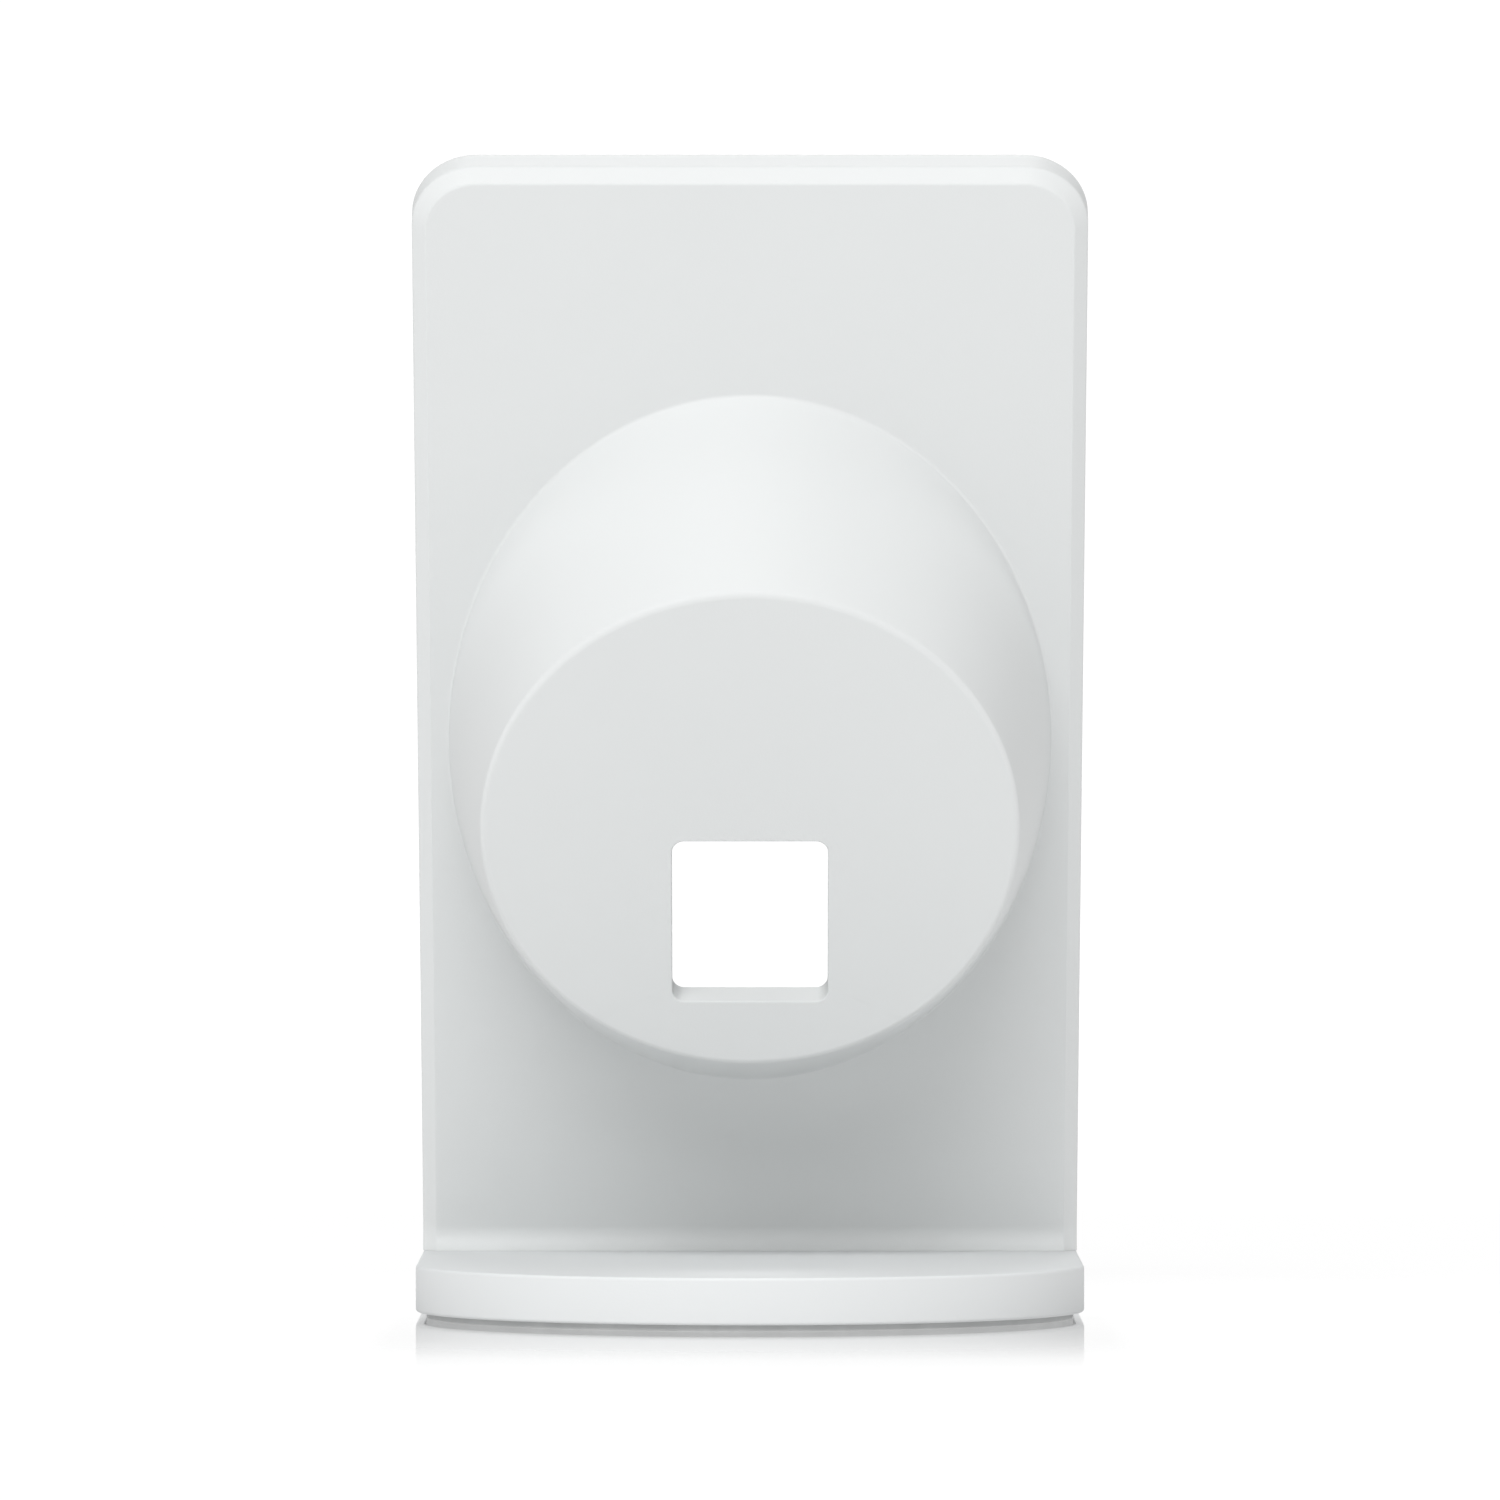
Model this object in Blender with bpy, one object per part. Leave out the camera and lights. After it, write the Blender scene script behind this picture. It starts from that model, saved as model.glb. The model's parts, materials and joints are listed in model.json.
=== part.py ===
"""Desk stand for a flat in-wall access point: a leaning plate with a hollow cable hub on a weighted foot.

The origin lies on the desk under the middle of the stand's box. +Z points up, and the hub points to -Y.
The upright's own frame has X across, S up the plate and N out of its near face, towards the hub's end.
"""

import math

import bmesh
import bpy
from mathutils import Matrix, Vector

MM = 0.001
GAP = 0.3 * MM
THREAD_GAP = 0.15 * MM
PAST = 2.0 * MM

# Foot
WIDTH = 86.0 * MM
FOOT_LOW = 0.75 * MM
FOOT_TOP = 6.75 * MM
FOOT_WALL = 2.0 * MM
FOOT_STRAIGHT = 44.5 * MM
FOOT_EDGE = 0.4 * MM
BACK_CORNER = 2.0 * MM
PAD_INSET = 1.4 * MM
PAD_TOP = 1.05 * MM

# Upright
LEAN = math.radians(28.8)
PLATE_DEPTH = 5.0 * MM
PLATE_HEIGHT = 159.4 * MM
PLATE_CORNER = 8.25 * MM
CHAMFER_IN = 1.75 * MM
CHAMFER_DEEP = 1.6 * MM
NEAR_WALL = 1.8 * MM
RIM_WALL = 2.0 * MM
POCKET_LOW_CORNER = 3.0 * MM
COVE_START = 3.74 * MM
COVE_RADIUS = 2.5 * MM

# Hub
HUB_CENTRE = 77.0 * MM
HUB_LENGTH = 24.0 * MM
HUB_RADIUS = 34.5 * MM
HUB_REAR_HALF_WIDTH = 38.9 * MM
HUB_REAR_HALF_HEIGHT = 50.5 * MM
HUB_REAR_SHIFT = -0.25 * MM
HUB_WALL = 2.2 * MM
HUB_FACE_WALL = 3.85 * MM
HUB_EDGE = 0.45 * MM
WINDOW_WIDTH = 20.0 * MM
WINDOW_LOW = 51.8 * MM
WINDOW_HIGH = 75.4 * MM
WINDOW_CORNER = 1.5 * MM

# Mounting plate on the far side
SHEET = 1.4 * MM
SHEET_LOW = 11.0 * MM
OPENING_HALF_WIDTH = 33.0 * MM
OPENING_HALF_HEIGHT = 45.0 * MM
POST_X = 24.0 * MM
POST_S = 29.0 * MM
POST_RADIUS = 3.0 * MM
POST_REACH = 9.0 * MM
BORE_REACH = 5.0 * MM
EAR_RADIUS = 4.4 * MM
HOOK_X = 24.0 * MM
HOOK_LEVELS = (19.0 * MM, 143.0 * MM)
HOOK_WIDTH = 7.0 * MM
HOOK_REACH = 3.6 * MM
HOOK_LIP = 4.0 * MM
LUG_ABOVE_PIVOT = 3.6 * MM

# Lock lever
PIVOT_S = 118.6 * MM
PIVOT_N = -1.6 * MM
PIN_RADIUS = 0.8 * MM
LUG_X = 8.6 * MM
LUG_THICK = 1.5 * MM
KNUCKLE_RADIUS = 2.2 * MM
LEVER_HALF_WIDTH = 8.2 * MM
LEVER_LENGTH = 20.0 * MM
LEVER_THICK = 1.6 * MM
NOSE_REACH = 2.8 * MM
SPRING_ROOM = 3.6 * MM
SPRING_TURNS = 5
SPRING_CLEARANCE = 0.4 * MM
LEVER_LEG_ANGLE = math.radians(-19)
PLATE_LEG_ANGLE = math.radians(32)
WIRE_RADIUS = 0.25 * MM
LEVER_LEG = 6.6 * MM
PLATE_LEG = 5.0 * MM
ARM_INSET = 0.4 * MM
NOSE_HALF_WIDTH = 5.0 * MM
NOSE_RAMP = (-17.0 * MM, -15.6 * MM)
NOSE_HOLD = (-14.2 * MM, -13.6 * MM)

# Fasteners
SHANK_RADIUS = 1.15 * MM
HEAD_RADIUS = 2.3 * MM
HEAD_CONE = 1.25 * MM
PLATE_SCREW_LENGTH = 9.0 * MM
PLATE_SCREW_RECESS = 0.9 * MM
RECESS_ARM = 1.5 * MM
RECESS_HALF_WIDTH = 0.3 * MM
LOW_HEAD_RADIUS = 2.8 * MM
LOW_HEAD_EDGE = 0.2 * MM
BALLAST_HEAD = 0.9 * MM
BALLAST_SCREW_LENGTH = 4.2 * MM
ROOT_HEAD = 1.1 * MM
ROOT_SCREW_LENGTH = 6.6 * MM
INSERT_RADIUS = 1.9 * MM
INSERT_LENGTH = 4.0 * MM
ROOT_SCREW_X = 22.0 * MM
ROOT_SCREW_BACK = 1.4 * MM

# Foot's inside
BALLAST_LOW = 2.0 * MM
BALLAST_TOP = 4.4 * MM
BALLAST_BACK = 8.0 * MM
BALLAST_SCREW_X = 28.0 * MM
BALLAST_SCREW_ROWS = (14.0 * MM, 56.0 * MM)
BALLAST_POST_RADIUS = 2.6 * MM
BALLAST_BORE_TOP = 5.95 * MM
SOCKET_WALL = 3.0 * MM
SOCKET_FLOOR = 2.9 * MM
TONGUE_HALF_WIDTH = 30.0 * MM
TONGUE_LOW = 4.0 * MM
TONGUE_FRONT = -1.6 * MM
TONGUE_BACK = 4.4 * MM

# Worked out from the sizes above: the crease is the line where the cove meets the foot's top.
SIN, COS = math.sin(LEAN), math.cos(LEAN)
COVE_Y = -COVE_START * SIN - COVE_RADIUS * COS
COVE_Z = COVE_START * COS - COVE_RADIUS * SIN
CREASE = COVE_Y + math.sqrt(COVE_RADIUS**2 - COVE_Z**2)
FAR_FOOT = PLATE_DEPTH / COS
FOOT_BACK_SLOPE = math.tan(LEAN)
HALF = WIDTH / 2
BACK_REACH = FAR_FOOT + (FOOT_TOP - FOOT_LOW - FOOT_EDGE) * FOOT_BACK_SLOPE
SEAT_Y = (HALF + FOOT_STRAIGHT - CREASE - BACK_REACH) / 2
CREASE_Y = SEAT_Y + CREASE
FOOT_CENTRE_Y = CREASE_Y - FOOT_STRAIGHT
SHEET_NEAR = -PLATE_DEPTH + SHEET


def material(name, colour, roughness, metallic=0.0):
    made = bpy.data.materials.new(name)
    made.use_nodes = True
    shader = made.node_tree.nodes["Principled BSDF"]
    shader.inputs["Base Color"].default_value = (*colour, 1.0)
    shader.inputs["Roughness"].default_value = roughness
    shader.inputs["Metallic"].default_value = metallic
    return made


def frame_empty(name, location, tilt=0.0, parent=None):
    empty = bpy.data.objects.new(name, None)
    empty.location = location
    empty.rotation_euler = (tilt, 0.0, 0.0)
    empty.parent = parent
    empty.empty_display_size = 10 * MM
    bpy.context.collection.objects.link(empty)
    return empty


def new_object(name, mesh, parent=None, finish=None):
    made = bpy.data.objects.new(name, mesh)
    made.parent = parent
    if finish is not None:
        mesh.materials.append(finish)
    bpy.context.collection.objects.link(made)
    return made


def loft(name, rings):
    """Mesh through closed rings of equally many points, with a flat cap on each end."""
    mesh = bpy.data.meshes.new(name)
    work = bmesh.new()
    made = [[work.verts.new(point) for point in ring] for ring in rings]
    count = len(rings[0])
    for low, high in zip(made, made[1:]):
        for i in range(count):
            j = (i + 1) % count
            work.faces.new((low[i], low[j], high[j], high[i]))
    work.faces.new(made[0])
    work.faces.new(made[-1])
    bmesh.ops.recalc_face_normals(work, faces=work.faces)
    work.to_mesh(mesh)
    work.free()
    return mesh


def prism(name, outline, low, high):
    return loft(name, [[(x, y, level) for x, y in outline] for level in (low, high)])


def slab(name, low, high):
    (x0, y0, z0), (x1, y1, z1) = low, high
    return prism(name, ((x0, y0), (x1, y0), (x1, y1), (x0, y1)), z0, z1)


def circle(radius, centre=(0.0, 0.0), steps=24):
    turn = [2 * math.pi * (k + 0.5) / steps for k in range(steps)]
    return [(centre[0] + radius * math.cos(a), centre[1] + radius * math.sin(a)) for a in turn]


def turned(name, profile, steps=24):
    """Solid of revolution about Z through (radius, height) stations."""
    rings = [[(x, y, height) for x, y in circle(radius, steps=steps)] for radius, height in profile]
    return loft(name, rings)


def rod(name, radius, half_length):
    """Plain turned rod, centred on its own middle."""
    return turned(name, ((radius, -half_length), (radius, half_length)))


def rounded(left, low, right, high, low_radius, high_radius, steps=8):
    """Panel outline, counter-clockwise from the lower right corner. Radius 0 leaves a square corner."""
    corners = (
        (right - low_radius, low + low_radius, low_radius, -90),
        (right - high_radius, high - high_radius, high_radius, 0),
        (left + high_radius, high - high_radius, high_radius, 90),
        (left + low_radius, low + low_radius, low_radius, 180),
    )
    outline = []
    for x, y, radius, start in corners:
        arc = range(steps + 1) if radius else (0,)
        for k in arc:
            angle = math.radians(start + 90 * k / steps)
            outline.append((x + radius * math.cos(angle), y + radius * math.sin(angle)))
    return outline


def boolean(target, operation, mesh, parent=None):
    """Joins a helper to a piece, or cuts it out of the piece. The helper itself stays hidden."""
    helper = new_object(f"{target.name}_{mesh.name}", mesh, parent)
    helper.hide_render = True
    helper.display_type = "WIRE"
    step = target.modifiers.new(mesh.name, "BOOLEAN")
    step.operation = operation
    step.object = helper
    step.solver = "EXACT"


def smooth(made, degrees=35):
    made.data.shade_smooth()
    made.data.set_sharp_from_angle(angle=math.radians(degrees))


def foot_outline(inset, level):
    """Plan of the foot at a height: half round nose, straight sides, back in line with the far face."""
    radius = HALF - inset
    back = SEAT_Y + FAR_FOOT + (FOOT_TOP - level) * FOOT_BACK_SLOPE - inset
    corner = max(BACK_CORNER - inset, 0.5 * MM)
    nose = [math.pi * (1 + k / 40) for k in range(41)]
    outline = [(radius * math.cos(a), FOOT_CENTRE_Y + radius * math.sin(a)) for a in nose]
    for side, start in ((1, 0), (-1, 90)):
        for k in range(5):
            angle = math.radians(start + 90 * k / 4)
            x = side * (radius - corner) + corner * math.cos(angle)
            outline.append((x, back - corner + corner * math.sin(angle)))
    return outline


def foot_ring(inset, level, back_level=None):
    """Ring of the foot's outline at a height. back_level keeps an upright inner back wall."""
    return [(x, y, level) for x, y in foot_outline(inset, level if back_level is None else back_level)]


def hub_ring(level, wall=0.0, steps=64):
    """Ring of the hub's ruled side: an oval on the plate that runs out to a round face."""
    share = max(level, 0.0) / HUB_LENGTH
    half_width = HUB_REAR_HALF_WIDTH + (HUB_RADIUS - HUB_REAR_HALF_WIDTH) * share - wall
    half_height = HUB_REAR_HALF_HEIGHT + (HUB_RADIUS - HUB_REAR_HALF_HEIGHT) * share - wall
    centre = HUB_CENTRE + HUB_REAR_SHIFT * (1 - share)
    return [(half_width * x, centre + half_height * y, level) for x, y in circle(1.0, steps=steps)]


def seat_line(level):
    """Distance S, at a depth N, where the upright ends just above the foot's top."""
    return (GAP + level * SIN) / COS


def plate_ring(inset, level):
    outline = rounded(
        inset - HALF, seat_line(level), HALF - inset, PLATE_HEIGHT - inset, 0, PLATE_CORNER - inset
    )
    return [(x, s, level) for x, s in outline]


def cove_ring(x, sunk, steps=8):
    """Side view of the cove at X. sunk moves its curve in, as the chamfer does at the plate's sides."""
    radius = COVE_RADIUS + sunk
    last = -math.asin((COVE_Z - GAP) / radius)
    arc = [LEAN + (last - LEAN) * k / steps for k in range(steps + 1)]
    ring = [(x, COVE_Y + radius * math.cos(a), COVE_Z + radius * math.sin(a)) for a in arc]
    inner = COVE_RADIUS + PLATE_DEPTH * 0.7
    foot_y = (FAR_FOOT - GAP * FOOT_BACK_SLOPE) * 0.7
    ring.append((x, foot_y, GAP))
    ring.append((x, COVE_Y + inner * COS, COVE_Z + inner * SIN))
    return ring


def make_upright(frame, seat, finish):
    """Plate, cove and hub, moulded in one, open to the far side behind the hub."""
    levels = ((0.0, -PLATE_DEPTH), (0.0, -CHAMFER_DEEP), (CHAMFER_IN, 0.0))
    plate = loft("upright_shell", [plate_ring(*pair) for pair in levels])
    shell = new_object("upright_shell", plate, frame, finish)
    inner = HALF - CHAMFER_IN
    stations = ((-HALF, CHAMFER_DEEP), (-inner, 0.0), (inner, 0.0), (HALF, CHAMFER_DEEP))
    boolean(shell, "UNION", loft("cove", [cove_ring(x, sunk) for x, sunk in stations]), seat)

    face_radius = HUB_RADIUS - HUB_EDGE
    face_edge = [(x, HUB_CENTRE + s, HUB_LENGTH) for x, s in circle(face_radius, steps=64)]
    hub = [hub_ring(-NEAR_WALL / 2), hub_ring(0.0), hub_ring(HUB_LENGTH - HUB_EDGE), face_edge]
    boolean(shell, "UNION", loft("hub", hub), frame)

    low = (-TONGUE_HALF_WIDTH, TONGUE_FRONT, TONGUE_LOW - FOOT_TOP)
    high = (TONGUE_HALF_WIDTH, TONGUE_BACK, 2 * GAP)
    boolean(shell, "UNION", slab("tongue", low, high), seat)

    face = HUB_LENGTH - HUB_FACE_WALL
    cavity = [hub_ring(level, HUB_WALL) for level in (-PLATE_DEPTH - PAST, 0.0, face)]
    boolean(shell, "DIFFERENCE", loft("cavity", cavity), frame)
    inner = HALF - RIM_WALL
    low, high = SHEET_LOW - GAP, PLATE_HEIGHT - RIM_WALL
    pocket = rounded(-inner, low, inner, high, POCKET_LOW_CORNER, PLATE_CORNER - RIM_WALL)
    boolean(shell, "DIFFERENCE", prism("pocket", pocket, -PLATE_DEPTH - PAST, -NEAR_WALL), frame)

    for across in (-1, 1):
        for along in (-1, 1):
            centre = (across * POST_X, HUB_CENTRE + along * POST_S)
            name = f"post_{across}_{along}"
            post = prism(name, circle(POST_RADIUS, centre), SHEET_NEAR + GAP, POST_REACH)
            boolean(shell, "UNION", post, frame)
            bore = circle(SHANK_RADIUS + THREAD_GAP, centre)
            boolean(shell, "DIFFERENCE", prism(name + "_bore", bore, -PLATE_DEPTH, BORE_REACH), frame)
        insert = circle(INSERT_RADIUS + THREAD_GAP, (across * ROOT_SCREW_X, ROOT_SCREW_BACK))
        depth = TONGUE_LOW - FOOT_TOP + INSERT_LENGTH + 2 * GAP
        boolean(shell, "DIFFERENCE", prism(f"insert_{across}", insert, -PLATE_DEPTH, depth), seat)

    half = WINDOW_WIDTH / 2
    window = rounded(-half, WINDOW_LOW, half, WINDOW_HIGH, WINDOW_CORNER, WINDOW_CORNER, 4)
    boolean(shell, "DIFFERENCE", prism("window", window, face - PAST, HUB_LENGTH + PAST), frame)
    smooth(shell)


def make_mounting_plate(frame, finish):
    """Pressed sheet on the far side: four hooks, an oval opening, screw ears and the lever's lugs."""
    inset = RIM_WALL + GAP
    half, top = HALF - inset, PLATE_HEIGHT - inset
    outline = rounded(-half, SHEET_LOW, half, top, POCKET_LOW_CORNER - GAP, PLATE_CORNER - inset)
    blank = prism("mounting_plate", outline, -PLATE_DEPTH, SHEET_NEAR)
    sheet = new_object("mounting_plate", blank, frame, finish)
    oval = [
        (OPENING_HALF_WIDTH * x, HUB_CENTRE + OPENING_HALF_HEIGHT * y) for x, y in circle(1.0, steps=64)
    ]
    boolean(sheet, "DIFFERENCE", prism("opening", oval, -PLATE_DEPTH - PAST, 0.0), frame)
    for across in (-1, 1):
        for along in (-1, 1):
            centre = (across * POST_X, HUB_CENTRE + along * POST_S)
            name = f"ear_{across}_{along}"
            ear = prism(name, circle(EAR_RADIUS, centre), -PLATE_DEPTH, SHEET_NEAR)
            boolean(sheet, "UNION", ear, frame)
            sink = turned(name + "_sink", screw_profile(THREAD_GAP, PAST))
            sink.transform(Matrix.Translation((*centre, -PLATE_DEPTH)))
            boolean(sheet, "DIFFERENCE", sink, frame)
        near, far = sorted((across * LUG_X, across * (LUG_X + LUG_THICK)))
        low = (near, PIVOT_S - KNUCKLE_RADIUS, SHEET_NEAR - SHEET / 2)
        high = (far, PIVOT_S + LUG_ABOVE_PIVOT, PIVOT_N + KNUCKLE_RADIUS)
        boolean(sheet, "UNION", slab(f"lug_{across}", low, high), frame)
        for level in HOOK_LEVELS:
            x = across * HOOK_X
            name = f"hook_{across}_{round(level / MM)}"
            low = (x - HOOK_WIDTH / 2, level, -PLATE_DEPTH - HOOK_REACH)
            high = (x + HOOK_WIDTH / 2, level + SHEET, SHEET_NEAR - SHEET / 2)
            boolean(sheet, "UNION", slab(name, low, high), frame)
            high = (x + HOOK_WIDTH / 2, level + HOOK_LIP, -PLATE_DEPTH - HOOK_REACH + SHEET)
            boolean(sheet, "UNION", slab(name + "_lip", low, high), frame)
            low = (x - HOOK_WIDTH / 2 - GAP, level + SHEET, -PLATE_DEPTH - PAST / 2)
            high = (x + HOOK_WIDTH / 2 + GAP, level + HOOK_LIP + SHEET, 0.0)
            boolean(sheet, "DIFFERENCE", slab(name + "_punch", low, high), frame)
    pin_bore = rod("pin_bore", PIN_RADIUS + THREAD_GAP, LUG_X + PAST)
    pin_bore.transform(across_at(PIVOT_S, PIVOT_N))
    boolean(sheet, "DIFFERENCE", pin_bore, frame)
    smooth(sheet)


def across_at(s, n):
    """Matrix that lays a turned piece's axis along X."""
    return Matrix.Translation((0.0, s, n)) @ Matrix.Rotation(math.pi / 2, 4, "Y")


def screw_profile(wider=0.0, past=0.0):
    """Countersunk screw from the flat of its head. wider and past make the same shape's clearance."""
    head = HEAD_RADIUS + wider
    shank = SHANK_RADIUS + wider
    stations = [(head, -past), (head, 0.0)] if past else [(head, THREAD_GAP)]
    return stations + [(shank, HEAD_CONE + wider), (shank, PLATE_SCREW_LENGTH)]


def cross_cut(screw, depth):
    """Cross recess in a screw's head."""
    arm, half = RECESS_ARM, RECESS_HALF_WIDTH
    boolean(screw, "DIFFERENCE", slab("slot_x", (-arm, -half, -PAST), (arm, half, depth)), screw)
    boolean(screw, "DIFFERENCE", slab("slot_y", (-half, -arm, -PAST), (half, arm, depth)), screw)


def make_plate_screws(frame, finish):
    for word, along in (("upper", 1), ("lower", -1)):
        for side, across in (("left", -1), ("right", 1)):
            name = f"plate_screw_{word}_{side}"
            screw = new_object(name, turned(name, screw_profile()), frame, finish)
            screw.location = (across * POST_X, HUB_CENTRE + along * POST_S, -PLATE_DEPTH)
            cross_cut(screw, PLATE_SCREW_RECESS)
            smooth(screw)


def make_lock(frame, plastic, steel, spring_steel):
    """Sprung lever on a pin. Its nose holds the device, and a push towards the hub lets go."""
    axis = frame_empty("lock_axis", (0.0, PIVOT_S, PIVOT_N), parent=frame)
    arm_far = -PLATE_DEPTH + ARM_INSET - PIVOT_N
    low = (-LEVER_HALF_WIDTH, -LEVER_LENGTH, arm_far)
    high = (LEVER_HALF_WIDTH, 0.0, arm_far + LEVER_THICK)
    lever = new_object("lock_lever", slab("lock_lever", low, high), axis, plastic)
    knuckle = rod("knuckle", KNUCKLE_RADIUS, LEVER_HALF_WIDTH)
    knuckle.transform(across_at(0.0, 0.0))
    boolean(lever, "UNION", knuckle, axis)
    root, tip = arm_far + LEVER_THICK / 2, arm_far - NOSE_REACH
    nose_side = (
        (NOSE_RAMP[0], root),
        (NOSE_RAMP[0], arm_far - NOSE_REACH * 0.3),
        (NOSE_RAMP[1], tip),
        (NOSE_HOLD[0], tip),
        (NOSE_HOLD[1], root),
    )
    ends = (-NOSE_HALF_WIDTH, NOSE_HALF_WIDTH)
    nose = loft("nose", [[(x, s, n) for s, n in nose_side] for x in ends])
    boolean(lever, "UNION", nose, axis)
    low = (-SPRING_ROOM, -KNUCKLE_RADIUS - ARM_INSET, -KNUCKLE_RADIUS - PAST)
    high = (SPRING_ROOM, KNUCKLE_RADIUS + PAST, KNUCKLE_RADIUS + PAST)
    boolean(lever, "DIFFERENCE", slab("spring_room", low, high), axis)
    bore = rod("bore", PIN_RADIUS + GAP, LEVER_HALF_WIDTH + PAST)
    bore.transform(across_at(0.0, 0.0))
    boolean(lever, "DIFFERENCE", bore, axis)
    smooth(lever)

    reach = LUG_X + LUG_THICK
    end, narrow = reach + GAP, PIN_RADIUS * 0.7
    stations = ((narrow, -end), (PIN_RADIUS, -reach), (PIN_RADIUS, reach), (narrow, end))
    pin_mesh = turned("lock_pin", stations)
    pin_mesh.transform(across_at(0.0, 0.0))
    smooth(new_object("lock_pin", pin_mesh, axis, steel))

    make_spring(axis, spring_steel)


def make_spring(axis, finish):
    """Torsion spring round the pin, with one leg on the lever and one under the mounting plate."""
    coil_radius = PIN_RADIUS + SPRING_CLEARANCE + WIRE_RADIUS
    coil_half = SPRING_ROOM - 3 * WIRE_RADIUS
    first, last = LEVER_LEG_ANGLE, 2 * math.pi * SPRING_TURNS + PLATE_LEG_ANGLE
    steps = 12 * SPRING_TURNS
    path = []
    for k in range(steps + 1):
        angle = first + (last - first) * k / steps
        x = coil_half * (2 * k / steps - 1)
        path.append(Vector((x, coil_radius * math.sin(angle), coil_radius * math.cos(angle))))
    lever_leg = path[0] + Vector((0.0, -math.cos(first), math.sin(first))) * LEVER_LEG
    plate_leg = path[-1] + Vector((0.0, math.cos(last), -math.sin(last))) * PLATE_LEG
    curve = bpy.data.curves.new("lock_spring", "CURVE")
    curve.dimensions = "3D"
    curve.bevel_depth = WIRE_RADIUS
    curve.bevel_resolution = 1
    curve.use_fill_caps = True
    line = curve.splines.new("POLY")
    points = [lever_leg, *path, plate_leg]
    line.points.add(len(points) - 1)
    for point, place in zip(line.points, points):
        point.co = (*place, 1.0)
    new_object("lock_spring", curve, axis, finish)


def make_foot(seat, finish):
    """Inverted tray with a rebate for the pad, posts for the ballast and a socket for the upright."""
    rings = [
        foot_ring(FOOT_EDGE, FOOT_LOW),
        foot_ring(0.0, FOOT_LOW + FOOT_EDGE),
        foot_ring(0.0, FOOT_TOP - FOOT_EDGE),
        foot_ring(FOOT_EDGE, FOOT_TOP),
    ]
    foot = new_object("foot_shell", loft("foot_shell", rings), None, finish)
    ceiling = FOOT_TOP - FOOT_WALL
    inside = [foot_ring(FOOT_WALL, level, FOOT_TOP) for level in (FOOT_LOW - PAST, ceiling)]
    boolean(foot, "DIFFERENCE", loft("inside", inside))
    rebate_top = PAD_TOP + GAP
    rebate = [foot_ring(PAD_INSET - GAP, level, FOOT_LOW) for level in (FOOT_LOW - PAST, rebate_top)]
    boolean(foot, "DIFFERENCE", loft("rebate", rebate))

    low = (-TONGUE_HALF_WIDTH - SOCKET_WALL, TONGUE_FRONT - SOCKET_WALL, SOCKET_FLOOR - FOOT_TOP)
    high = (TONGUE_HALF_WIDTH + SOCKET_WALL, TONGUE_BACK, -FOOT_WALL / 2)
    boolean(foot, "UNION", slab("socket", low, high), seat)
    low = (-TONGUE_HALF_WIDTH - GAP, TONGUE_FRONT - GAP, TONGUE_LOW - GAP - FOOT_TOP)
    high = (TONGUE_HALF_WIDTH + GAP, TONGUE_BACK + GAP, PAST)
    boolean(foot, "DIFFERENCE", slab("slot", low, high), seat)
    for across in (-1, 1):
        centre = (across * ROOT_SCREW_X, ROOT_SCREW_BACK)
        hole = circle(SHANK_RADIUS + GAP, centre)
        boolean(foot, "DIFFERENCE", prism(f"root_hole_{across}", hole, -FOOT_TOP, 0.0), seat)
        room = circle(LOW_HEAD_RADIUS + GAP, centre)
        head_room = prism(f"head_room_{across}", room, -FOOT_TOP, SOCKET_FLOOR - FOOT_TOP)
        boolean(foot, "DIFFERENCE", head_room, seat)
        for row in BALLAST_SCREW_ROWS:
            centre = (across * BALLAST_SCREW_X, CREASE_Y - row)
            name = f"post_{across}_{round(row / MM)}"
            post = circle(BALLAST_POST_RADIUS, centre)
            boolean(foot, "UNION", prism(name, post, BALLAST_LOW + 2 * GAP, ceiling + GAP))
            bore = circle(SHANK_RADIUS + THREAD_GAP, centre)
            boolean(foot, "DIFFERENCE", prism(name + "_bore", bore, 0.0, BALLAST_BORE_TOP))
    smooth(foot)


def make_ballast(finish):
    """Steel plate inside the foot, stepped round each post so that the screw heads sit flush."""
    back = CREASE_Y - BALLAST_BACK
    inset = FOOT_WALL + GAP
    outline = [(x, min(y, back)) for x, y in foot_outline(inset, FOOT_TOP)]
    outline = [point for i, point in enumerate(outline) if point != outline[i - 1]]
    blank = prism("ballast_plate", outline, BALLAST_LOW, BALLAST_TOP)
    ballast = new_object("ballast_plate", blank, None, finish)
    for across in (-1, 1):
        for row in BALLAST_SCREW_ROWS:
            centre = (across * BALLAST_SCREW_X, CREASE_Y - row)
            name = f"{across}_{round(row / MM)}"
            hole = circle(BALLAST_POST_RADIUS + GAP, centre)
            boolean(ballast, "DIFFERENCE", prism("hole_" + name, hole, 0.0, FOOT_TOP))
            step = circle(LOW_HEAD_RADIUS + 2 * GAP, centre)
            boolean(ballast, "DIFFERENCE", prism("step_" + name, step, 0.0, BALLAST_LOW + 2 * GAP))
    smooth(ballast)


def low_head_screw(name, parent, place, head, length, finish):
    """Low-head screw with its head down and its shank up."""
    stations = (
        (LOW_HEAD_RADIUS - LOW_HEAD_EDGE, 0.0),
        (LOW_HEAD_RADIUS, LOW_HEAD_EDGE),
        (LOW_HEAD_RADIUS, head),
        (SHANK_RADIUS, head),
        (SHANK_RADIUS, length),
    )
    screw = new_object(name, turned(name, stations), parent, finish)
    screw.location = place
    cross_cut(screw, head * 0.6)
    smooth(screw)


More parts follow.
